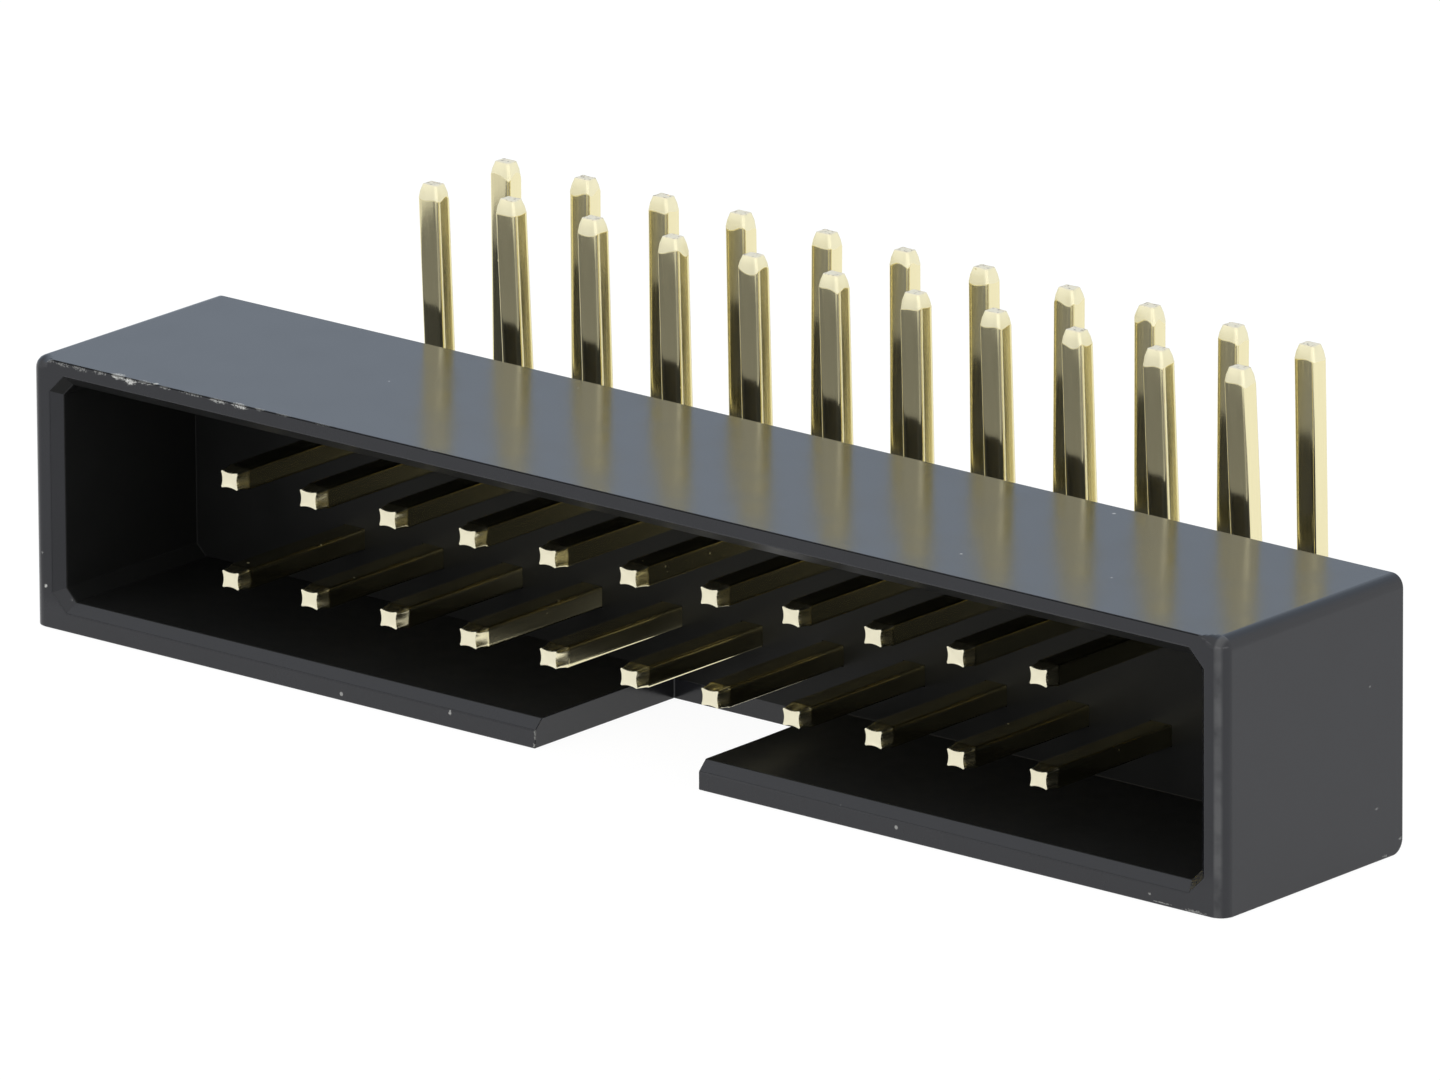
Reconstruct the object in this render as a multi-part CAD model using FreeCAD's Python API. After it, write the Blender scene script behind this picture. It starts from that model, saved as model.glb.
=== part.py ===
import FreeCAD, Part
import os

# A right-angle box header for a board: one moulded housing and two rows of bent contacts.
# Sizes are in millimetres. X runs along the rows, Y from the mating mouth to the solder legs,
# and Z from the keyed wall, on which the header lies, to the face that seats on the board.
# The origin is under the middle of the whole header, on the keyed wall's outer face.

# Contact grid
PITCH = 2.0
COLUMNS = 11

# Housing walls, measured from the cavity outwards
END_WALL = 0.68
KEY_WALL = 0.57
BOARD_WALL = 0.49
BASE_THICKNESS = 1.35

# Cavity that takes the socket, measured from the contacts to its walls
END_POCKET = 4.05
KEY_MARGIN = 1.14
BOARD_MARGIN = 1.23
CAVITY_DEPTH = 4.0
CAVITY_BEVEL = 0.24
MOUTH_BEVEL = 0.21

# Outer edges of the housing
EDGE_RADIUS = 0.26
HEEL_RADIUS = 0.28

# Keying notch in the wall opposite the board
NOTCH_WIDTH = 4.05
NOTCH_RECESS_DEPTH = 0.1
NOTCH_RECESS_HEIGHT = 0.44

# Contact wire
WIRE_WIDTH = 0.52
WIRE_THICKNESS = 0.42
WIRE_BEVEL = 0.06
BEND_INNER_RADIUS = 0.35
HOLE_CLEARANCE = 0.01

# Mating ends, inside the mouth
MATING_TIP_RECESS = 0.37
MATING_TAPER_LENGTH = 0.3
MATING_TIP_WIDTH = 0.41
MATING_TIP_THICKNESS = 0.34

# Solder legs, beyond the housing's back and beyond the board face
LEG_STANDOFF = 1.05
LEG_LENGTH = 2.88
LEG_TAPER_LENGTH = 0.28
LEG_TIP_WIDTH = 0.35
LEG_TIP_THICKNESS = 0.27
TIP_BEVEL = 0.03

# Allowances of the construction: how far a cut runs past a face, and how exact a match is
CUT_OVERRUN = 1.0
LENGTH_TOLERANCE = 1e-6
DIRECTION_TOLERANCE = 1e-3

# Sizes that follow from those above
CAVITY_LENGTH = (COLUMNS - 1) * PITCH + 2 * END_POCKET
CAVITY_HEIGHT = KEY_MARGIN + PITCH + BOARD_MARGIN
HOUSING_LENGTH = CAVITY_LENGTH + 2 * END_WALL
HOUSING_HEIGHT = KEY_WALL + CAVITY_HEIGHT + BOARD_WALL
HOUSING_DEPTH = CAVITY_DEPTH + BASE_THICKNESS
NEAR_LEG_REACH = HOUSING_DEPTH + LEG_STANDOFF + WIRE_THICKNESS / 2
FAR_LEG_REACH = NEAR_LEG_REACH + PITCH
OVERALL_DEPTH = FAR_LEG_REACH + WIRE_THICKNESS / 2
BEND_RADIUS = BEND_INNER_RADIUS + WIRE_THICKNESS / 2

# Planes of the part's own frame
MOUTH_Y = -OVERALL_DEPTH / 2
CAVITY_BACK_Y = MOUTH_Y + CAVITY_DEPTH
BACK_Y = MOUTH_Y + HOUSING_DEPTH
LOW_ROW_Z = KEY_WALL + KEY_MARGIN
HIGH_ROW_Z = LOW_ROW_Z + PITCH
LEG_TIP_Z = HOUSING_HEIGHT + LEG_LENGTH

X_AXIS = FreeCAD.Vector(1, 0, 0)
Y_AXIS = FreeCAD.Vector(0, 1, 0)
Z_AXIS = FreeCAD.Vector(0, 0, 1)


def block(low, high):
    """Box between two opposite corners."""
    corner = FreeCAD.Vector(*low)
    size = FreeCAD.Vector(*high) - corner
    return Part.makeBox(size.x, size.y, size.z, corner)


def closed_wire(points):
    return Part.makePolygon(points + points[:1])


def bevelled_rectangle(centre, across, up, width, height, bevel):
    """Rectangle about centre with its four corners cut at 45 degrees."""
    half_width = width / 2
    half_height = height / 2
    corners = [
        (half_width - bevel, -half_height),
        (half_width, bevel - half_height),
        (half_width, half_height - bevel),
        (half_width - bevel, half_height),
        (bevel - half_width, half_height),
        (-half_width, half_height - bevel),
        (-half_width, bevel - half_height),
        (bevel - half_width, -half_height),
    ]
    return closed_wire([centre + across * a + up * b for a, b in corners])


def edges_along(shape, direction, keep):
    """Straight edges of shape that run along direction and whose middle passes keep."""
    found = []
    for edge in shape.Edges:
        if isinstance(edge.Curve, Part.Line) and edge.Curve.Direction.cross(direction).Length < DIRECTION_TOLERANCE:
            if keep(edge.CenterOfMass):
                found.append(edge)
    return found


def outer_block():
    """Housing before anything is cut from it, with its moulded outer edges rounded."""
    half = HOUSING_LENGTH / 2
    shape = block((-half, MOUTH_Y, 0), (half, BACK_Y, HOUSING_HEIGHT))
    middle_y = (MOUTH_Y + BACK_Y) / 2
    middle_z = HOUSING_HEIGHT / 2
    heel = edges_along(shape, X_AXIS, lambda p: p.y > middle_y and p.z < middle_z)
    shape = shape.makeFillet(HEEL_RADIUS, heel)
    upright = edges_along(shape, Z_AXIS, lambda p: p.y < middle_y)
    board_side = edges_along(shape, Y_AXIS, lambda p: p.z > middle_z)
    return shape.makeFillet(EDGE_RADIUS, upright + board_side)


def cavity():
    centre = FreeCAD.Vector(0, MOUTH_Y, KEY_WALL + CAVITY_HEIGHT / 2)
    outline = bevelled_rectangle(centre, X_AXIS, Z_AXIS, CAVITY_LENGTH, CAVITY_HEIGHT, CAVITY_BEVEL)
    return Part.Face(outline).extrude(Y_AXIS * CAVITY_DEPTH)


def bevel_mouth(shape):
    """Bevel the inner edge of the mouth, which leads the socket in."""
    inner = []
    for edge in shape.Edges:
        box = edge.BoundBox
        on_mouth = max(abs(box.YMin - MOUTH_Y), abs(box.YMax - MOUTH_Y)) < LENGTH_TOLERANCE
        inside_x = max(abs(box.XMin), abs(box.XMax)) < CAVITY_LENGTH / 2 + END_WALL / 4
        inside_z = box.ZMin > KEY_WALL / 2 and box.ZMax < HOUSING_HEIGHT - BOARD_WALL / 2
        if on_mouth and inside_x and inside_z:
            inner.append(edge)
    return shape.makeChamfer(MOUTH_BEVEL, inner)


def notch():
    """Slot through the keyed wall, with a shallow recess in the base behind it."""
    half = NOTCH_WIDTH / 2
    outside = (-half, MOUTH_Y - CUT_OVERRUN, -CUT_OVERRUN)
    slot = block(outside, (half, CAVITY_BACK_Y, LOW_ROW_Z))
    recess = block(outside, (half, CAVITY_BACK_Y + NOTCH_RECESS_DEPTH, NOTCH_RECESS_HEIGHT))
    return slot.fuse(recess)


def column_x(column):
    return (column - (COLUMNS - 1) / 2) * PITCH


def contact_hole(x, row_z):
    """Hole through the base that a contact is pressed into."""
    half_width = WIRE_WIDTH / 2 + HOLE_CLEARANCE
    half_thickness = WIRE_THICKNESS / 2 + HOLE_CLEARANCE
    low = (x - half_width, CAVITY_BACK_Y - CUT_OVERRUN, row_z - half_thickness)
    high = (x + half_width, BACK_Y + CUT_OVERRUN, row_z + half_thickness)
    return block(low, high)


def make_housing():
    shape = bevel_mouth(outer_block().cut(cavity()))
    shape = shape.cut(notch())
    holes = []
    for column in range(COLUMNS):
        for row_z in (LOW_ROW_Z, HIGH_ROW_Z):
            holes.append(contact_hole(column_x(column), row_z))
    return shape.cut(Part.makeCompound(holes)).removeSplitter()


def wire_section(centre, up):
    return bevelled_rectangle(centre, X_AXIS, up, WIRE_WIDTH, WIRE_THICKNESS, WIRE_BEVEL)


def tapered_end(root, direction, up, length, tip_width, tip_thickness):
    """Cut end of a contact, narrowing on all four sides from root."""
    tip = bevelled_rectangle(root + direction * length, X_AXIS, up, tip_width, tip_thickness, TIP_BEVEL)
    return Part.makeLoft([wire_section(root, up), tip], True, True)


def make_contact(x, row_z, leg_reach):
    """One bent contact: straight through the base, a quarter bend, and a leg up through the board."""
    leg_y = MOUTH_Y + leg_reach
    mating_root = FreeCAD.Vector(x, MOUTH_Y + MATING_TIP_RECESS + MATING_TAPER_LENGTH, row_z)
    bend_start = FreeCAD.Vector(x, leg_y - BEND_RADIUS, row_z)
    bend_centre = bend_start + Z_AXIS * BEND_RADIUS
    bend_end = bend_centre + Y_AXIS * BEND_RADIUS
    leg_root = FreeCAD.Vector(x, leg_y, LEG_TIP_Z - LEG_TAPER_LENGTH)

    run = Part.Face(wire_section(mating_root, Z_AXIS)).extrude(bend_start - mating_root)
    bend = Part.Face(wire_section(bend_start, Z_AXIS)).revolve(bend_centre, X_AXIS, 90)
    leg = Part.Face(wire_section(bend_end, Y_AXIS)).extrude(leg_root - bend_end)
    mating_end = tapered_end(
        mating_root, -Y_AXIS, Z_AXIS, MATING_TAPER_LENGTH, MATING_TIP_WIDTH, MATING_TIP_THICKNESS
    )
    leg_end = tapered_end(leg_root, Z_AXIS, Y_AXIS, LEG_TAPER_LENGTH, LEG_TIP_WIDTH, LEG_TIP_THICKNESS)
    return run.fuse([bend, leg, mating_end, leg_end]).removeSplitter()


def contacts():
    """Contacts in order along the rows: the row nearer the board has the near legs."""
    made = []
    for column in range(COLUMNS):
        x = column_x(column)
        made.append(make_contact(x, HIGH_ROW_Z, NEAR_LEG_REACH))
        made.append(make_contact(x, LOW_ROW_Z, FAR_LEG_REACH))
    return made


os.makedirs("parts", exist_ok=True)
make_housing().exportStep("parts/housing.step")
for number, contact in enumerate(contacts(), start=1):
    contact.exportStep(f"parts/contact_{number:02d}.step")
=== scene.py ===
import math

import bmesh
import bpy
import numpy as np
from mathutils import Matrix, Vector


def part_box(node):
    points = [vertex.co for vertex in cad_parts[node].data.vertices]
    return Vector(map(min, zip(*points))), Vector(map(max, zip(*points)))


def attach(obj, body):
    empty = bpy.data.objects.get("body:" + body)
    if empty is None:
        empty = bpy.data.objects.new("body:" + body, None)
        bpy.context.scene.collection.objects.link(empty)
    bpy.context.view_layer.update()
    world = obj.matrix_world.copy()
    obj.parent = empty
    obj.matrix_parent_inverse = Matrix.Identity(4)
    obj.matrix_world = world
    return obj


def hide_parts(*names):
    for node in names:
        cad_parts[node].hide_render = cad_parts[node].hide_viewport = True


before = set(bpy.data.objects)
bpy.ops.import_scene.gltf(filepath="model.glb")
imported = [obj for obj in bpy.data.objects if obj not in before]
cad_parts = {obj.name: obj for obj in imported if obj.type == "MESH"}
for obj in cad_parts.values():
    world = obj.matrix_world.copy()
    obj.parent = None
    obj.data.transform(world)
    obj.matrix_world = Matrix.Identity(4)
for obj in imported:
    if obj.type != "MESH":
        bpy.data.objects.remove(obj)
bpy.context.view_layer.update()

mm = 0.001


# Low and high corner of a node's box, in millimetres
def boxOf(node):
    low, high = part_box(node)
    return np.array(low) / mm, np.array(high) / mm


contactNodes = sorted(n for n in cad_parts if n.startswith("contact_"))
shellLow, shellHigh = boxOf("housing")
mouthY = shellLow[1]


# Puts arrays of points (millimetres) and faces into a mesh object at the origin
def meshFromArrays(name, points, faces, uvs=None, attribute=None):
    mesh = bpy.data.meshes.new(name)
    mesh.from_pydata((points * mm).tolist(), [], faces)
    if uvs is not None:
        layer = mesh.uv_layers.new(name="wire")
        layer.uv.foreach_set("vector", uvs.astype(np.float32).ravel())
    if attribute is not None:
        held = mesh.attributes.new("cutEnd", "FLOAT", "POINT")
        held.data.foreach_set("value", attribute.astype(np.float32))
    mesh.validate()
    mesh.shade_smooth()
    piece = bpy.data.objects.new(name, mesh)
    bpy.context.scene.collection.objects.link(piece)
    return piece


def addNode(tree, kind, inputs=None, **settings):
    node = tree.nodes.new(kind)
    for key, value in settings.items():
        setattr(node, key, value)
    for key, value in (inputs or {}).items():
        if isinstance(value, bpy.types.NodeSocket):
            tree.links.new(value, node.inputs[key])
        else:
            node.inputs[key].default_value = value
    return node


def sumOf(tree, operation, *values, clamp=False):
    return addNode(
        tree, "ShaderNodeMath", dict(enumerate(values)), operation=operation, use_clamp=clamp
    ).outputs[0]


def mapped(tree, value, low, high, toLow, toHigh):
    numbers = {"Value": value, "From Min": low, "From Max": high, "To Min": toLow, "To Max": toHigh}
    return addNode(tree, "ShaderNodeMapRange", numbers).outputs[0]


# Outputs of a vector sum, of which "Value" or "Vector" is the result
def vectorOf(tree, operation, *values):
    return addNode(tree, "ShaderNodeVectorMath", dict(enumerate(values)), operation=operation).outputs


def noiseOf(tree, place, scale, detail):
    noise = addNode(tree, "ShaderNodeTexNoise", {"Vector": place, "Scale": scale, "Detail": detail})
    return noise.outputs["Fac"]


def mixColour(tree, share, first, second):
    mixed = addNode(tree, "ShaderNodeMix", {"Factor": share, 6: first, 7: second}, data_type="RGBA")
    return mixed.outputs[2]


# Empty shader group; inputs and outputs are (name, socket kind, default) rows
def newGroup(name, inputs, outputs):
    tree = bpy.data.node_groups.new(name, "ShaderNodeTree")
    for title, kind, value in inputs:
        socket = tree.interface.new_socket(title, in_out="INPUT", socket_type=kind)
        if value is not None:
            socket.default_value = value
    for title, kind in outputs:
        tree.interface.new_socket(title, in_out="OUTPUT", socket_type=kind)
    return tree, tree.nodes.new("NodeGroupInput").outputs, tree.nodes.new("NodeGroupOutput").inputs


def placeGroup(tree, group, inputs):
    return addNode(tree, "ShaderNodeGroup", inputs, node_tree=group).outputs


def newMaterial(name):
    material = bpy.data.materials.new(name)
    material.use_nodes = True
    tree = material.node_tree
    tree.nodes.clear()
    return material, tree, tree.nodes.new("ShaderNodeOutputMaterial")


# Object coordinates counted in millimetres
def millimetreCoordinates(tree):
    place = tree.nodes.new("ShaderNodeTexCoord").outputs["Object"]
    scaled = addNode(tree, "ShaderNodeVectorMath", {0: place, "Scale": 1 / mm}, operation="SCALE")
    return scaled.outputs["Vector"]


# Fine moulded or drawn grain: a fine noise as height and a slow one as mottle
def makeFineGrain():
    tree, source, sink = newGroup(
        "fineGrain",
        [
            ("Place", "NodeSocketVector", None),
            ("Fine", "NodeSocketFloat", 30.0),
            ("Slow", "NodeSocketFloat", 1.2),
        ],
        [("Height", "NodeSocketFloat"), ("Mottle", "NodeSocketFloat")],
    )
    tree.links.new(noiseOf(tree, source["Place"], source["Fine"], 3.0), sink["Height"])
    tree.links.new(noiseOf(tree, source["Place"], source["Slow"], 2.0), sink["Mottle"])
    return tree


# Sparse grains of dust: a small dot in each cell of a Voronoi pattern whose random red passes Rarity
def makeSpecks():
    tree, source, sink = newGroup(
        "dustSpecks",
        [
            ("Place", "NodeSocketVector", None),
            ("Per mm", "NodeSocketFloat", 3.0),
            ("Dot size", "NodeSocketFloat", 0.1),
            ("Rarity", "NodeSocketFloat", 0.6),
        ],
        [("Mask", "NodeSocketFloat")],
    )
    cells = addNode(tree, "ShaderNodeTexVoronoi", {"Vector": source["Place"], "Scale": source["Per mm"]})
    chosen = addNode(tree, "ShaderNodeSeparateColor", {"Color": cells.outputs["Color"]}).outputs
    lets = sumOf(tree, "GREATER_THAN", chosen["Red"], source["Rarity"])
    size = sumOf(tree, "MULTIPLY", chosen["Green"], source["Dot size"])
    near = sumOf(tree, "SUBTRACT", size, cells.outputs["Distance"])
    sharp = sumOf(tree, "MULTIPLY", near, 40.0, clamp=True)
    tree.links.new(sumOf(tree, "MULTIPLY", sharp, lets), sink["Mask"])
    return tree


# How a mark fills: how fast it thins out, where it starts, how sharp its border is and how far it may go
markShape = {"thinning": 0.45, "threshold": 0.62, "sharpness": 9.0, "reach": 1.3}


# One mark: an ellipsoid about Centre, filled where torn noise + Fill - thinning * distance^2 passes threshold
def makeMark():
    tree, source, sink = newGroup(
        "scuffMark",
        [
            ("Place", "NodeSocketVector", None),
            ("Torn", "NodeSocketFloat", 0.5),
            ("Centre", "NodeSocketVector", None),
            ("Reach", "NodeSocketVector", None),
            ("Fill", "NodeSocketFloat", 0.5),
            ("Strength", "NodeSocketFloat", 1.0),
        ],
        [("Mask", "NodeSocketFloat")],
    )
    away = vectorOf(tree, "SUBTRACT", source["Place"], source["Centre"])["Vector"]
    shared = vectorOf(tree, "DIVIDE", away, source["Reach"])["Vector"]
    length = vectorOf(tree, "LENGTH", shared)["Value"]
    fall = sumOf(tree, "MULTIPLY", sumOf(tree, "MULTIPLY", length, length), markShape["thinning"])
    filled = sumOf(tree, "SUBTRACT", sumOf(tree, "ADD", source["Torn"], source["Fill"]), fall)
    over = sumOf(tree, "SUBTRACT", filled, markShape["threshold"])
    sharp = sumOf(tree, "MULTIPLY", over, markShape["sharpness"], clamp=True)
    inside = sumOf(tree, "LESS_THAN", length, markShape["reach"])
    kept = sumOf(tree, "MULTIPLY", sharp, inside)
    tree.links.new(sumOf(tree, "MULTIPLY", kept, source["Strength"]), sink["Mask"])
    return tree


fineGrain = makeFineGrain()
dustSpecks = makeSpecks()
scuffMark = makeMark()
print("shared shader groups made")


# Black moulding of the housing; lengths in millimetres
moulding = {
    "colour": (0.0118, 0.0126, 0.0158, 1),
    "mottleColour": (0.0148, 0.0157, 0.0198, 1),
    # the darker inside colours and the low inside specular level below are painted shade for the cavity
    "insideShadeColour": (0.0100, 0.0102, 0.0100, 1),
    "insideShadeMottle": (0.0125, 0.0127, 0.0123, 1),
    # pale grey of the painted highlight on the front right rounded edge
    "cornerHighlightColour": (0.17, 0.17, 0.17, 1),
    "fleckColour": (0.55, 0.55, 0.52, 1),
    "dustColour": (0.30, 0.30, 0.29, 1),
    "roughness": (0.14, 0.21),
    "insideRoughness": (0.30, 0.42),
    "insideShadeSpecular": 0.13,
    "ior": 1.46,
    "microBevel": 0.02,
    "bevelAngle": math.radians(32),
    "smoothAngle": math.radians(18),
    "grainDepth": 0.0012,
    "cornerRadius": 0.26,
    "cornerFade": 0.35,
    "cornerCuts": 6,
    "wallOutside": 0.62,
    "keyWall": 0.57,
    "boardWall": 0.49,
    "mouthLip": 0.20,
    "broadFace": 0.15,
    "holeEdge": 0.6,
    "holeField": 11.0,
    "baseThickness": 1.35,
    "stripStart": 14.47,
    "stripWidth": 0.19,
}
rightX = shellHigh[0]
boardZ = shellHigh[2]

# Marks on the moulding: centre, reach along each axis, fill (low leaves single flecks, high a patch)
# and strength
scuffs = [
    ((-14.30, mouthY, boardZ - 0.03), (0.30, 0.09, 0.09), 0.21, 0.5),
    ((-13.90, mouthY, boardZ - 0.05), (0.30, 0.10, 0.10), 0.20, 0.6),
    ((-13.45, mouthY, boardZ - 0.05), (0.36, 0.09, 0.09), 0.20, 0.6),
    ((-12.95, mouthY, boardZ - 0.03), (0.34, 0.10, 0.08), 0.21, 0.7),
    ((-12.50, mouthY + 0.02, boardZ - 0.02), (0.26, 0.16, 0.10), 0.30, 1.7),
    ((-12.18, mouthY, boardZ - 0.06), (0.24, 0.10, 0.11), 0.26, 2.0),
    ((-11.80, mouthY + 0.02, boardZ - 0.01), (0.34, 0.12, 0.08), 0.22, 1.2),
    ((-11.55, mouthY + 0.04, boardZ), (0.07, 0.07, 0.05), 0.42, 1.7),
    ((-11.30, mouthY, boardZ - 0.02), (0.24, 0.07, 0.05), 0.26, 0.8),
    ((-12.32, mouthY, boardZ - 0.36), (0.035, 0.05, 0.035), 0.5, 0.9),
    ((-10.60, mouthY + 0.01, boardZ - 0.02), (0.50, 0.08, 0.06), 0.22, 0.7),
    ((-9.95, mouthY + 0.01, boardZ - 0.03), (0.36, 0.09, 0.07), 0.26, 1.1),
    ((-9.40, mouthY + 0.02, boardZ - 0.03), (0.30, 0.11, 0.09), 0.28, 1.7),
    ((-8.90, mouthY + 0.02, boardZ), (0.22, 0.07, 0.05), 0.28, 1.0),
    ((-8.30, mouthY + 0.02, boardZ), (0.30, 0.06, 0.04), 0.26, 0.8),
    ((-7.30, mouthY + 0.02, boardZ - 0.01), (0.42, 0.06, 0.04), 0.22, 0.6),
    ((-4.60, mouthY + 0.02, boardZ), (0.30, 0.06, 0.04), 0.22, 0.5),
    ((-14.42, mouthY, 0.83), (0.05, 0.05, 0.05), 0.35, 1.6),
    ((-14.50, mouthY, 1.49), (0.05, 0.05, 0.05), 0.25, 0.6),
    ((-13.88, mouthY + 0.08, 0.66), (0.10, 0.16, 0.12), 0.32, 1.2),
    ((-13.45, mouthY + 0.05, 0.50), (0.34, 0.10, 0.07), 0.22, 0.9),
    ((14.05, mouthY, 0.03), (0.42, 0.06, 0.06), 0.24, 0.7),
    ((13.26, mouthY, 0.05), (0.34, 0.05, 0.018), 0.34, 0.8),
    ((12.97, mouthY, 0.17), (0.05, 0.04, 0.03), 0.4, 0.8),
    ((4.81, mouthY + 0.05, 0.60), (0.06, 0.08, 0.05), 0.3, 1.0),
    ((5.49, mouthY, 0.40), (0.04, 0.05, 0.04), 0.35, 0.6),
    ((-1.08, mouthY + 0.10, 0.60), (0.08, 0.10, 0.05), 0.26, 0.6),
    ((-4.15, mouthY, 0.30), (0.05, 0.05, 0.08), 0.36, 1.2),
    ((-2.03, mouthY, 0.30), (0.04, 0.06, 0.30), 0.26, 0.7),
    ((-2.05, mouthY, 0.06), (0.07, 0.06, 0.07), 0.26, 0.9),
    ((rightX, mouthY + 5.27, 0.29), (0.05, 0.07, 0.05), 0.3, 0.6),
    ((rightX, mouthY + 4.81, 0.05), (0.05, 0.12, 0.05), 0.24, 0.8),
    ((rightX, mouthY + 4.35, 3.48), (0.05, 0.05, 0.04), 0.3, 0.4),
    ((rightX, mouthY + 4.56, 1.04), (0.05, 0.10, 0.035), 0.3, 0.5),
]


# 1 between low and high along one coordinate, with a soft border
def bandMask(tree, value, low, high, soft):
    above = sumOf(tree, "MULTIPLY", sumOf(tree, "SUBTRACT", value, low), 1 / soft, clamp=True)
    below = sumOf(tree, "MULTIPLY", sumOf(tree, "SUBTRACT", high, value), 1 / soft, clamp=True)
    return sumOf(tree, "MULTIPLY", above, below)


# Glossy skin of the outside, with its marks and a painted highlight on its front right corner
def makeOutsideMaterial():
    material, tree, output = newMaterial("blackMoulding")
    place = millimetreCoordinates(tree)
    apart = addNode(tree, "ShaderNodeSeparateXYZ", {"Vector": place}).outputs
    grain = placeGroup(tree, fineGrain, {"Place": place, "Fine": 26.0, "Slow": 0.9})
    dust = {"Place": place, "Per mm": 1.6, "Dot size": 0.08, "Rarity": 0.88}
    specks = placeGroup(tree, dustSpecks, dust)["Mask"]
    torn = noiseOf(tree, place, 40.0, 5.0)

    flecks = 0.0
    for centre, reach, fill, strength in scuffs:
        mark = {"Place": place, "Torn": torn, "Centre": centre, "Reach": reach}
        mark.update({"Fill": fill, "Strength": strength})
        flecks = sumOf(tree, "MAXIMUM", flecks, placeGroup(tree, scuffMark, mark)["Mask"])

    # painted highlight: a pale band where the front starts to turn into the right face, fainter and stronger
    # along its height
    wander = noiseOf(tree, place, 1.9, 4.0)
    start = moulding["stripStart"]
    strip = bandMask(tree, apart["X"], start, start + moulding["stripWidth"], 0.05)
    nearFront = sumOf(tree, "LESS_THAN", apart["Y"], mouthY + moulding["cornerRadius"])
    strength = mapped(tree, wander, 0.35, 0.65, 0.06, 0.34)
    cornerHighlight = sumOf(tree, "MULTIPLY", sumOf(tree, "MULTIPLY", strip, nearFront), strength)

    body = mixColour(tree, grain["Mottle"], moulding["colour"], moulding["mottleColour"])
    low, high = moulding["roughness"]
    gloss = mapped(tree, grain["Mottle"], 0.3, 0.7, low, high)
    highlit = mixColour(tree, cornerHighlight, body, moulding["cornerHighlightColour"])
    dusty = mixColour(tree, specks, highlit, moulding["dustColour"])
    paled = sumOf(tree, "MULTIPLY", flecks, 0.5, clamp=True)
    flecked = mixColour(tree, paled, dusty, moulding["fleckColour"])
    dulled = sumOf(tree, "MULTIPLY_ADD", sumOf(tree, "MULTIPLY", flecks, 1.0, clamp=True), 0.35, gloss)
    height = {"Height": grain["Height"], "Distance": moulding["grainDepth"] * mm, "Strength": 0.6}
    bump = addNode(tree, "ShaderNodeBump", height).outputs[0]
    finish = {"Base Color": flecked, "Roughness": dulled, "Normal": bump, "IOR": moulding["ior"]}
    surface = addNode(tree, "ShaderNodeBsdfPrincipled", finish)
    tree.links.new(surface.outputs[0], output.inputs["Surface"])
    return material


# Skin of the cavity: a darker colour and a lower specular level, which are painted shade, rougher than
# outside and with a few grains of dust
def makeShadedInsideMaterial():
    material, tree, output = newMaterial("blackMouldingShadedInside")
    place = millimetreCoordinates(tree)
    grain = placeGroup(tree, fineGrain, {"Place": place, "Fine": 20.0, "Slow": 1.1})
    dust = {"Place": place, "Per mm": 1.1, "Dot size": 0.06, "Rarity": 0.90}
    specks = placeGroup(tree, dustSpecks, dust)["Mask"]
    body = mixColour(tree, grain["Mottle"], moulding["insideShadeColour"], moulding["insideShadeMottle"])
    dusty = mixColour(tree, sumOf(tree, "MULTIPLY", specks, 0.35), body, moulding["dustColour"])
    low, high = moulding["insideRoughness"]
    gloss = mapped(tree, grain["Mottle"], 0.3, 0.7, low, high)
    height = {"Height": grain["Height"], "Distance": moulding["grainDepth"] * mm, "Strength": 0.5}
    bump = addNode(tree, "ShaderNodeBump", height).outputs[0]
    finish = {
        "Base Color": dusty,
        "Roughness": gloss,
        "Normal": bump,
        "IOR": moulding["ior"],
        "Specular IOR Level": moulding["insideShadeSpecular"],
    }
    surface = addNode(tree, "ShaderNodeBsdfPrincipled", finish)
    tree.links.new(surface.outputs[0], output.inputs["Surface"])
    return material


# A closed copy of a CAD node: equal corners become one point
def mergedCopy(node, name):
    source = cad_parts[node].data
    co = np.zeros(len(source.vertices) * 3, np.float64)
    source.vertices.foreach_get("co", co)
    points, index = np.unique(np.round(co.reshape(-1, 3) / mm, 5), axis=0, return_inverse=True)
    corners = np.zeros(len(source.loops), np.int64)
    source.loops.foreach_get("vertex_index", corners)
    faces = index.ravel()[corners].reshape(-1, 3)
    distinct = (faces[:, 0] != faces[:, 1]) & (faces[:, 1] != faces[:, 2]) & (faces[:, 2] != faces[:, 0])
    return meshFromArrays(name, points, faces[distinct].tolist())


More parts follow.
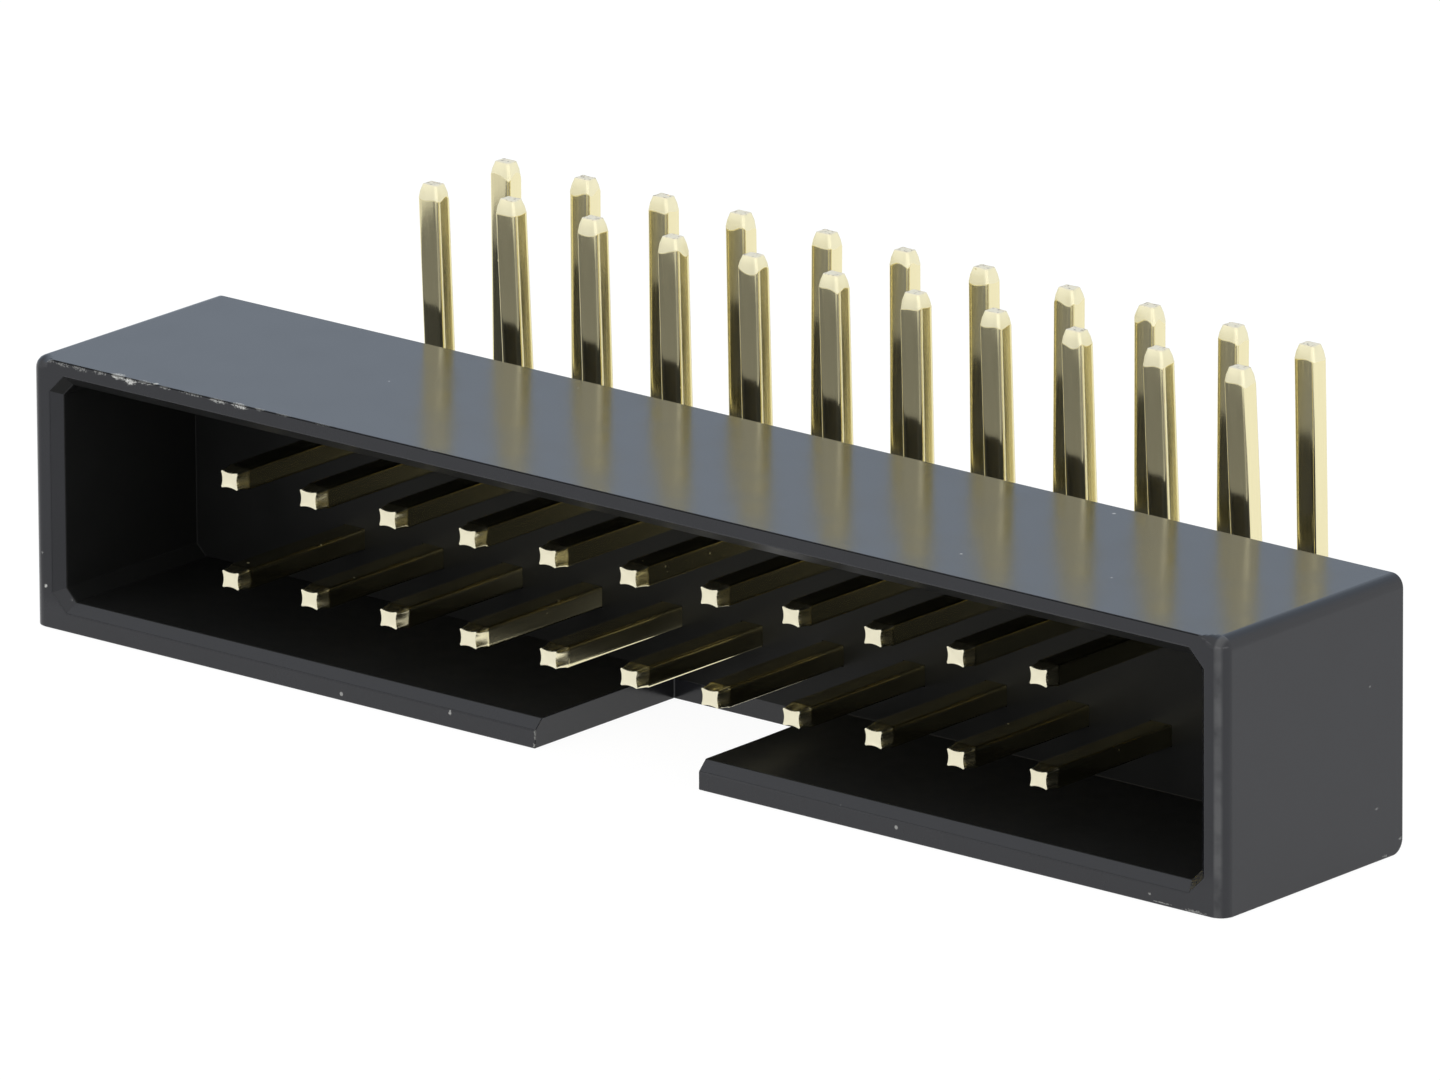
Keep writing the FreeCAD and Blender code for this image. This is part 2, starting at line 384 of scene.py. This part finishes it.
# Rounds the two top front corners to a ball of radius r, on a mesh first cut by a grid of planes there.
# With q the outward distances from the ball's middle, points beyond r * (1 + 0.42 s) are drawn back to
# it, and s rises smoothly from 0 at the corner to 1 along the front edge.
def roundTopCorners(work):
    radius, fade = moulding["cornerRadius"], moulding["cornerFade"]
    steps = radius - radius * np.cos(np.linspace(0, math.pi / 2, moulding["cornerCuts"] + 1)[1:])
    along = np.concatenate([steps, radius + fade * np.array([0.25, 0.5, 0.75, 1.0])])
    planes = [((side * (rightX - step), 0, 0), (1, 0, 0)) for side in (-1, 1) for step in along]
    planes += [((0, mouthY + step, 0), (0, 1, 0)) for step in steps]
    planes += [((0, 0, boardZ - step), (0, 0, 1)) for step in steps]
    for place, normal in planes:
        parts = work.verts[:] + work.edges[:] + work.faces[:]
        bmesh.ops.bisect_plane(work, geom=parts, plane_co=Vector(place) * mm, plane_no=normal, dist=1e-8)
    for vert in work.verts:
        x, y, z = np.array(vert.co) / mm
        q = np.array([abs(x) - rightX, mouthY - y, z - boardZ]) + radius
        if q[0] > -fade and q[1] > 0 and q[2] > 0:
            share = min(max(-q[0] / fade, 0.0), 1.0)
            allowed = radius * (1 + 0.42 * share * share * (3 - 2 * share))
            outward = np.maximum(q, 0)
            length = np.linalg.norm(outward)
            if length > allowed:
                back = outward * (allowed / length - 1)
                vert.co = Vector((x + math.copysign(1.0, x) * back[0], y - back[1], z + back[2])) * mm


def makeHousing():
    shell = mergedCopy("housing", "housingShell")
    work = bmesh.new()
    work.from_mesh(shell.data)
    bmesh.ops.dissolve_limit(work, angle_limit=math.radians(0.4), verts=work.verts, edges=work.edges)
    roundTopCorners(work)
    bmesh.ops.recalc_face_normals(work, faces=work.faces)
    # the rims of the contact holes stay sharp, and so do the rounded corners
    broken = []
    baseY = shellHigh[1] - moulding["baseThickness"]
    radius = moulding["cornerRadius"]
    for edge in work.edges:
        x, y, z = np.array((edge.verts[0].co + edge.verts[1].co) / 2) / mm
        onBase = abs(y - baseY) < 0.001 and abs(x) < moulding["holeField"]
        aroundHole = onBase and edge.calc_length() < moulding["holeEdge"] * mm
        fromEnd, fromMouth, fromTop = rightX - abs(x), y - mouthY, boardZ - z
        inCorner = fromEnd < radius + 0.6 * moulding["cornerFade"] and max(fromMouth, fromTop) < radius
        if edge.calc_face_angle() > moulding["bevelAngle"] and not aroundHole and not inCorner:
            broken.append(edge)
    breaking = {"offset": moulding["microBevel"] * mm, "segments": 2, "profile": 0.5, "affect": "EDGES"}
    bmesh.ops.bevel(work, geom=broken, clamp_overlap=False, **breaking)
    bmesh.ops.recalc_face_normals(work, faces=work.faces)

    # faces square to an axis, and broad ones, are shaded flat, the narrow faces of the rounded edges smooth
    for edge in work.edges:
        edge.smooth = edge.calc_face_angle() < moulding["smoothAngle"]
    for face in work.faces:
        longest = max(edge.calc_length() for edge in face.edges)
        square = max(abs(c) for c in face.normal) > 0.9999
        broad = face.calc_area() / longest > moulding["broadFace"] * mm
        face.smooth = not (square or broad)

    # the walls of the cavity and the mouth's upper bevel, which looks down, take the cavity's skin, whose
    # darker colour and low specular level are painted shade
    endX = rightX - moulding["wallOutside"]
    for face in work.faces:
        middle = face.calc_center_median() / mm
        within = abs(middle.x) < endX and mouthY + moulding["mouthLip"] < middle.y < shellHigh[1] - 0.2
        inward = moulding["keyWall"] - 0.01 < middle.z < boardZ - moulding["boardWall"] + 0.01
        upperBevel = middle.y > mouthY + 0.01 and middle.z > boardZ / 2 and face.normal.z < -0.5
        face.material_index = 1 if (within and inward) or upperBevel else 0
    work.to_mesh(shell.data)
    work.free()
    shell.data.materials.append(makeOutsideMaterial())
    shell.data.materials.append(makeShadedInsideMaterial())
    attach(shell, "root")
    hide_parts("housing")
    return shell


makeHousing()
print("housing made")


# Bent wire of the contacts; lengths in millimetres, nearLean in millimetres of y for each one above
# the bend, streakScale across and along the drawn lines
wire = {
    "cornerRadius": 0.065,
    "legShrink": 0.009,
    "pinCornerRadius": 0.04,
    "tipCornerRadius": 0.025,
    "sidePoints": 6,
    "cornerPoints": 5,
    "bendRings": 14,
    "bendInnerRadius": 0.35,
    "halfThickness": 0.21,
    "pressFit": 0.0095,
    "matingTaper": 0.3,
    "matingTip": (0.41, 0.34),
    "legTaper": 0.28,
    "legTip": (0.35, 0.27),
    "nearLean": -0.036,
    "colour": (0.87, 0.80, 0.51, 1),
    "shadeColour": (0.81, 0.74, 0.45, 1),
    "cutColour": (0.94, 0.89, 0.68, 1),
    "coreColour": (1.0, 0.88, 0.66, 1),
    "coreDark": (0.50, 0.41, 0.30, 1),
    "legCutColour": (0.85, 0.80, 0.56, 1),
    "roughness": (0.10, 0.16),
    "streakScale": (34.0, 0.9, 1.0),
    "streakDepth": 0.0005,
    "pitDepth": 0.0008,
}


# Places round a rectangle with round corners: corner signs (cx, cy) and turn angle phi
def sectionPlan():
    signs = [(1, -1), (1, 1), (-1, 1), (-1, -1)]
    cx, cy, phi = [], [], []
    for k, (sx, sy) in enumerate(signs):
        start = -math.pi / 2 + k * math.pi / 2
        turn = start + np.linspace(0, math.pi / 2, wire["cornerPoints"] + 1)
        cx.append(np.full(turn.size, sx, float))
        cy.append(np.full(turn.size, sy, float))
        phi.append(turn)
        nextX, nextY = signs[(k + 1) % 4]
        share = np.linspace(0, 1, wire["sidePoints"] + 2)[1:-1]
        cx.append(sx + (nextX - sx) * share)
        cy.append(sy + (nextY - sy) * share)
        phi.append(np.full(share.size, start + math.pi / 2))
    return np.concatenate(cx), np.concatenate(cy), np.concatenate(phi)


planX, planY, planTurn = sectionPlan()


# How each leg stands off its place in the grid: sideways at its foot and at its tip, and how much shorter
legOffsets = {
    "near": [
        (-0.010, -0.020, 0.05), (-0.027, -0.057, 0.0), (0.002, 0.007, 0.0), (0.010, 0.022, 0.0),
        (0.0, 0.025, 0.0), (0.007, 0.022, 0.0), (0.005, 0.042, 0.0), (-0.045, 0.0, 0.0),
        (0.012, -0.025, 0.0), (-0.067, -0.042, 0.0), (-0.057, -0.077, 0.0),
    ],
    "far": [
        (-0.020, -0.015, 0.08), (0.0, 0.0, 0.05), (-0.012, -0.022, 0.05), (-0.052, -0.082, 0.03),
        (0.052, 0.067, 0.025), (0.017, 0.002, 0.025), (-0.010, -0.045, 0.005), (0.052, 0.050, 0.02),
        (0.032, 0.017, 0.01), (0.040, 0.047, 0.02), (-0.074, -0.107, 0.05),
    ],
}


# Rings from the mating tip to the leg tip: y, z, path angle, half sizes, cut surface, bow of the sides,
# shrink, raggedness, crown and corner radius
def ringStations(low, high, halfWidth, shorter):
    halfThick = wire["halfThickness"]
    rowZ = low[2] + halfThick
    legY = high[1] - halfThick
    radius = wire["bendInnerRadius"] + halfThick
    tipA = np.array(wire["matingTip"]) / 2
    tipB = np.array(wire["legTip"]) / 2
    body = np.array([halfWidth, halfThick])
    tight = body + wire["pressFit"]
    pin = wire["pinCornerRadius"]
    sharp = wire["tipCornerRadius"]
    rows = []

    def add(y, z, angle, size, cut, bow=0.0, shrink=1.0, ragged=0.0, crown=0.0, corner=wire["cornerRadius"]):
        rows.append((y, z, angle, size[0], size[1], cut, bow, shrink, ragged, crown, corner))

    startY = low[1]
    taper = wire["matingTaper"]
    for shrink in (0.02, 0.35, 0.7, 0.93):
        add(startY, rowZ, 0.0, tipA, 1.0, 0.030, shrink, 0.0, 1.0, sharp)
    add(startY + 0.004, rowZ, 0.0, tipA, 1.0, 0.030, corner=sharp)
    add(startY + 0.012, rowZ, 0.0, tipA + 0.001, 0.5, 0.028, corner=sharp)
    add(startY + 0.10, rowZ, 0.0, tipA * 0.7 + body * 0.3, 0.3, 0.014, corner=0.05)
    add(startY + taper - 0.03, rowZ, 0.0, body - 0.008, 0.3, 0.002, 1.0, 0.015, corner=0.065)
    add(startY + taper, rowZ, 0.0, body, 0.0, 0.0, 1.0, 0.015, corner=pin)
    add(startY + taper + 0.03, rowZ, 0.0, body, 0.0, corner=pin)
    baseFront = shellHigh[1] - moulding["baseThickness"]
    add(baseFront - 0.02, rowZ, 0.0, body, 0.0, corner=pin)
    add(baseFront + 0.001, rowZ, 0.0, tight, 0.0, corner=pin)
    add(shellHigh[1] - 0.001, rowZ, 0.0, tight, 0.0, corner=pin)
    body = body - wire["legShrink"]
    add(shellHigh[1] + 0.02, rowZ, 0.0, body, 0.0)
    add(legY - radius - 0.05, rowZ, 0.0, body, 0.0)
    for turn in np.linspace(0, math.pi / 2, wire["bendRings"]):
        y = legY - radius + radius * math.sin(turn)
        z = rowZ + radius - radius * math.cos(turn)
        add(y, z, turn, body, 0.0)
    top = high[2] - shorter
    root = top - wire["legTaper"]
    up = math.pi / 2
    add(legY, root - 0.030, up, body, 0.0, 0.0, 1.0, 0.05)
    add(legY, root - 0.010, up, body, 0.0, 0.0, 1.0, 0.05)
    add(legY, root + 0.004, up, body - 0.003, 1.0, 0.0, 1.0, 0.05)
    add(legY, root + 0.13, up, (body + tipB) / 2 + 0.010, 1.0, 0.004, 1.0, 0.01, corner=0.055)
    add(legY, top - 0.030, up, tipB + 0.008, 1.0, 0.008, corner=0.05)
    add(legY, top - 0.012, up, tipB, 1.4, 0.010, corner=0.04)
    for shrink in (0.9, 0.6, 0.3, 0.02):
        add(legY, top, up, tipB, 2.0, 0.010, shrink, 0.0, -1.0, 0.04)
    return np.array(rows), rowZ + radius


# Wire swept along its bent path: ring point = path + X across + Y normal + ragged shift along
def makeContact(number, node):
    low, high = boxOf(node)
    rng = np.random.default_rng(700 + number)
    near = number % 2 == 1
    foot, tip, shorter = legOffsets["near" if near else "far"][(number - 1) // 2]
    rows, bendTop = ringStations(low, high, (high[0] - low[0]) / 2, shorter)
    y, z, angle, a, b, cut, bow, shrink, ragged, crown, corner = rows.T[:, :, None]
    count, around = len(rows), planX.size
    reach = corner - bow * (1 - (planX * planY) ** 2)
    across = (planX * (a - corner) + reach * np.cos(planTurn)) * shrink
    normal = (planY * (b - corner) + reach * np.sin(planTurn)) * shrink

    wave = np.arange(1, 6)[:, None]
    sweep = np.linspace(0, 2 * math.pi, around, endpoint=False)
    jag = (rng.normal(size=(5, 1)) * np.cos(wave * sweep + rng.uniform(0, 6.3, (5, 1)))).sum(0) / 2.5
    dish = np.sin(across * 11 + rng.uniform(0, 6)) * np.cos(normal * 13 + rng.uniform(0, 6))
    along = ragged * jag + crown * (0.010 + 0.008 * dish) * (1 - shrink ** 6)

    # tangent (0, cos, sin); normal (0, -sin, cos), so that the leg's outer face looks towards +y
    above = np.maximum(z - bendTop, 0.0)
    footShare = np.clip(above / (boardZ - bendTop), 0.0, 1.0)
    tipShare = np.clip((z - boardZ) / (high[2] - boardZ), 0.0, 1.0)
    px = (low[0] + high[0]) / 2 + across + foot * footShare + (tip - foot) * tipShare
    py = y - np.sin(angle) * normal + np.cos(angle) * along + (wire["nearLean"] * above if near else 0.0)
    pz = z + np.cos(angle) * normal + np.sin(angle) * along
    points = np.stack([px, py, np.minimum(pz, high[2])], -1).reshape(-1, 3)

    i, j = np.meshgrid(np.arange(count - 1), np.arange(around), indexing="ij")
    nextJ = (j + 1) % around
    quads = np.stack([i * around + j, i * around + nextJ, (i + 1) * around + nextJ, (i + 1) * around + j], -1)
    quads = quads.reshape(-1, 4)[:, ::-1]
    first = np.arange(around)
    last = (count - 1) * around + np.arange(around)[::-1]
    faces = quads.tolist() + [first.tolist(), last.tolist()]

    # drawn streaks run along v, the length of the wire
    lengthAlong = np.concatenate([[0], np.cumsum(np.hypot(np.diff(rows[:, 0]), np.diff(rows[:, 1])))])
    girth = np.linspace(0, 1.6, around + 1)
    u = np.stack([girth[j], girth[j + 1], girth[j + 1], girth[j]], -1)
    v = np.stack([lengthAlong[i], lengthAlong[i], lengthAlong[i + 1], lengthAlong[i + 1]], -1)
    sides = np.stack([u, v], -1).reshape(-1, 4, 2)[:, ::-1]
    uv = np.concatenate([sides.reshape(-1, 2), np.zeros((2 * around, 2))])
    cutMask = np.broadcast_to(cut, (count, around)).ravel()
    piece = meshFromArrays(f"contactWire_{number:02d}", points, faces, uv, cutMask)
    piece.modifiers.new("flat faces stay flat", "WEIGHTED_NORMAL")
    return piece


def makeGoldMaterial():
    material, tree, output = newMaterial("goldPlate")
    place = millimetreCoordinates(tree)
    drawn = addNode(tree, "ShaderNodeUVMap", uv_map="wire").outputs["UV"]
    stretched = addNode(tree, "ShaderNodeMapping", {"Vector": drawn, "Scale": wire["streakScale"]})
    lines = noiseOf(tree, stretched.outputs[0], 1.0, 3.0)
    grain = placeGroup(tree, fineGrain, {"Place": place, "Fine": 40.0, "Slow": 1.7})
    dust = {"Place": place, "Per mm": 3.2, "Dot size": 0.11, "Rarity": 0.80}
    specks = placeGroup(tree, dustSpecks, dust)["Mask"]
    cut = addNode(tree, "ShaderNodeAttribute", attribute_name="cutEnd").outputs["Fac"]
    plated = mixColour(tree, lines, wire["shadeColour"], wire["colour"])
    taper = sumOf(tree, "MINIMUM", cut, 1.0)
    upwards = addNode(tree, "ShaderNodeSeparateXYZ", {"Vector": place}).outputs["Z"]
    onLeg = sumOf(tree, "GREATER_THAN", upwards, boardZ)
    cutTone = mixColour(tree, onLeg, wire["cutColour"], wire["legCutColour"])
    ended = mixColour(tree, taper, plated, cutTone)

    # the core shows on the leg's end, in two tones with torn borders
    core = sumOf(tree, "SUBTRACT", cut, 1.0, clamp=True)
    pitted = mapped(tree, noiseOf(tree, place, 15.0, 4.0), 0.56, 0.66, 0.0, 1.0)
    coreTone = mixColour(tree, pitted, wire["coreColour"], wire["coreDark"])
    ended = mixColour(tree, core, ended, coreTone)
    low, high = wire["roughness"]
    rough = sumOf(tree, "MULTIPLY_ADD", taper, 0.30, mapped(tree, lines, 0.3, 0.7, low, high))
    dulled = sumOf(tree, "MULTIPLY_ADD", specks, 0.5, rough)
    streaks = {"Height": lines, "Distance": wire["streakDepth"] * mm, "Strength": 0.5}
    streakBump = addNode(tree, "ShaderNodeBump", streaks).outputs[0]
    pits = {"Height": grain["Height"], "Distance": wire["pitDepth"] * mm, "Strength": 0.6}
    pits["Normal"] = streakBump
    pitBump = addNode(tree, "ShaderNodeBump", pits).outputs[0]
    finish = {"Base Color": ended, "Metallic": 1.0, "Roughness": dulled, "Normal": pitBump}
    surface = addNode(tree, "ShaderNodeBsdfPrincipled", finish)
    tree.links.new(surface.outputs[0], output.inputs["Surface"])
    return material


goldPlate = makeGoldMaterial()
for number, node in enumerate(contactNodes, start=1):
    contact = makeContact(number, node)
    contact.data.materials.append(goldPlate)
    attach(contact, "root")
    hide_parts(node)
print("contacts made", len(contactNodes))


# Floor, backdrop and light; sizes in metres, coolReach as cosines from coolSide, softboxes as place, width,
# height and power
studio = {
    "floorSize": 1.2,
    "floorUnder": 0.00002,
    "floorColour": (0.93, 0.93, 0.93, 1),
    "floorGlow": 0.9,
    "glowStrength": 1.05,
    "worldColour": (1.08, 1.08, 1.08, 1),
    "coolColour": (0.70, 0.80, 0.93, 1),
    "coolSide": (-0.61, 0.74, 0.29),
    "coolReach": (0.2, 0.85),
    "softboxAim": (0, 0, 0.003),
    "softboxes": {
        "frontSoftbox": ((0.046, -0.377, 0.13), 0.31, 0.05, 0.08),
        "rightSoftbox": ((0.363, -0.111, 0.13), 0.34, 0.05, 0.09),
    },
}


# One level face between two corners, in millimetres
def flatSheet(name, low, high, level):
    outline = [(low[0], low[1]), (high[0], low[1]), (high[0], high[1]), (low[0], high[1])]
    return meshFromArrays(name, np.array([(x, y, level) for x, y in outline]), [[0, 1, 2, 3]])


def makeFloor():
    half = studio["floorSize"] / 2 / mm
    floor = flatSheet("floorPlane", (-half, -half), (half, half), -studio["floorUnder"] / mm)
    material, tree, output = newMaterial("floorPaper")
    path = tree.nodes.new("ShaderNodeLightPath").outputs
    direct = sumOf(tree, "MAXIMUM", path["Is Camera Ray"], path["Is Glossy Ray"])
    seen = sumOf(tree, "MAXIMUM", direct, path["Is Transmission Ray"])
    lit = addNode(tree, "ShaderNodeBsdfDiffuse", {"Color": studio["floorColour"]})
    glow = addNode(tree, "ShaderNodeEmission", {"Color": (1, 1, 1, 1), "Strength": studio["glowStrength"]})
    share = sumOf(tree, "MULTIPLY", seen, studio["floorGlow"])
    mixed = addNode(tree, "ShaderNodeMixShader", {0: share, 1: lit.outputs[0], 2: glow.outputs[0]})
    tree.links.new(mixed.outputs[0], output.inputs["Surface"])
    floor.data.materials.append(material)


# Pale grey card on the floor in front of the mouth; lengths in millimetres
reflector = {
    "colour": (0.80, 0.80, 0.80, 1),
    "left": -75.0,
    "front": -80.0,
    "right": 13.0,
    "gap": 1.2,
    "level": 0.05,
}


# The card is seen only in reflections
def makeReflectorCard():
    low = (reflector["left"], reflector["front"])
    high = (reflector["right"], mouthY - reflector["gap"])
    card = flatSheet("reflectorCard", low, high, reflector["level"])
    material, tree, output = newMaterial("reflectorPaper")
    glow = addNode(tree, "ShaderNodeEmission", {"Color": reflector["colour"], "Strength": 1.0})
    tree.links.new(glow.outputs[0], output.inputs["Surface"])
    card.data.materials.append(material)
    card.visible_camera = False
    card.visible_diffuse = False
    card.visible_shadow = False
    card.visible_transmission = False


# 1 towards a side of the room, fading out away from it
def sideShare(tree, place, side, low, high):
    unit = np.array(side) / np.linalg.norm(side)
    facing = vectorOf(tree, "DOT_PRODUCT", place, tuple(unit))["Value"]
    numbers = {"Value": facing, "From Min": low, "From Max": high}
    return addNode(tree, "ShaderNodeMapRange", numbers, interpolation_type="SMOOTHSTEP").outputs[0]


def makeWorld():
    world = bpy.data.worlds.new("studioWorld")
    world.use_nodes = True
    tree = world.node_tree
    tree.nodes.clear()
    output = tree.nodes.new("ShaderNodeOutputWorld")
    place = tree.nodes.new("ShaderNodeTexCoord").outputs["Generated"]
    cool = sideShare(tree, place, studio["coolSide"], *studio["coolReach"])
    colour = mixColour(tree, cool, studio["worldColour"], studio["coolColour"])
    back = addNode(tree, "ShaderNodeBackground", {"Color": colour, "Strength": 1.0})
    tree.links.new(back.outputs[0], output.inputs["Surface"])
    bpy.context.scene.world = world


def makeSoftbox(name, place, width, height, power):
    light = bpy.data.lights.new(name, "AREA")
    light.shape = "RECTANGLE"
    light.size = width
    light.size_y = height
    light.energy = power
    lamp = bpy.data.objects.new(name, light)
    bpy.context.scene.collection.objects.link(lamp)
    lamp.rotation_mode = "QUATERNION"
    lamp.rotation_quaternion = (Vector(studio["softboxAim"]) - Vector(place)).to_track_quat("-Z", "Y")
    lamp.location = place
    lamp.visible_camera = False


# Camera of the photograph, fitted to the header's straight edges; yaw, pitch and roll in degrees, the
# rest in millimetres
view = {
    "yaw": 40.082,
    "pitch": 17.083,
    "roll": 0.348,
    "offset": (-0.254, 1.119),
    "distance": 437.66,
    "lens": 576.7,
    "sensor": 36.0,
    "target": (0.0, mouthY + 2.674, 2.727),
}


def makeCamera():
    yaw, pitch, roll = (math.radians(view[k]) for k in ("yaw", "pitch", "roll"))
    forward = np.array([-math.sin(yaw) * math.cos(pitch), math.cos(yaw) * math.cos(pitch), -math.sin(pitch)])
    level = np.array([math.cos(yaw), math.sin(yaw), 0.0])
    down = np.cross(forward, level)
    right = math.cos(roll) * level + math.sin(roll) * down
    lowered = -math.sin(roll) * level + math.cos(roll) * down
    offX, offY = view["offset"]
    place = np.array(view["target"]) - right * offX - lowered * offY - forward * view["distance"]
    data = bpy.data.cameras.new("photoCamera")
    data.sensor_width = view["sensor"]
    data.lens = view["lens"]
    data.clip_start = 0.01
    data.clip_end = 10.0
    camera = bpy.data.objects.new("photoCamera", data)
    bpy.context.scene.collection.objects.link(camera)
    camera.matrix_world = Matrix((
        (right[0], -lowered[0], -forward[0], place[0] * mm),
        (right[1], -lowered[1], -forward[1], place[1] * mm),
        (right[2], -lowered[2], -forward[2], place[2] * mm),
        (0, 0, 0, 1),
    ))
    bpy.context.scene.camera = camera


makeFloor()
makeReflectorCard()
makeWorld()
for name, settings in studio["softboxes"].items():
    makeSoftbox(name, *settings)
makeCamera()
bpy.context.scene.view_settings.view_transform = "Standard"
print("stage, light and camera made")
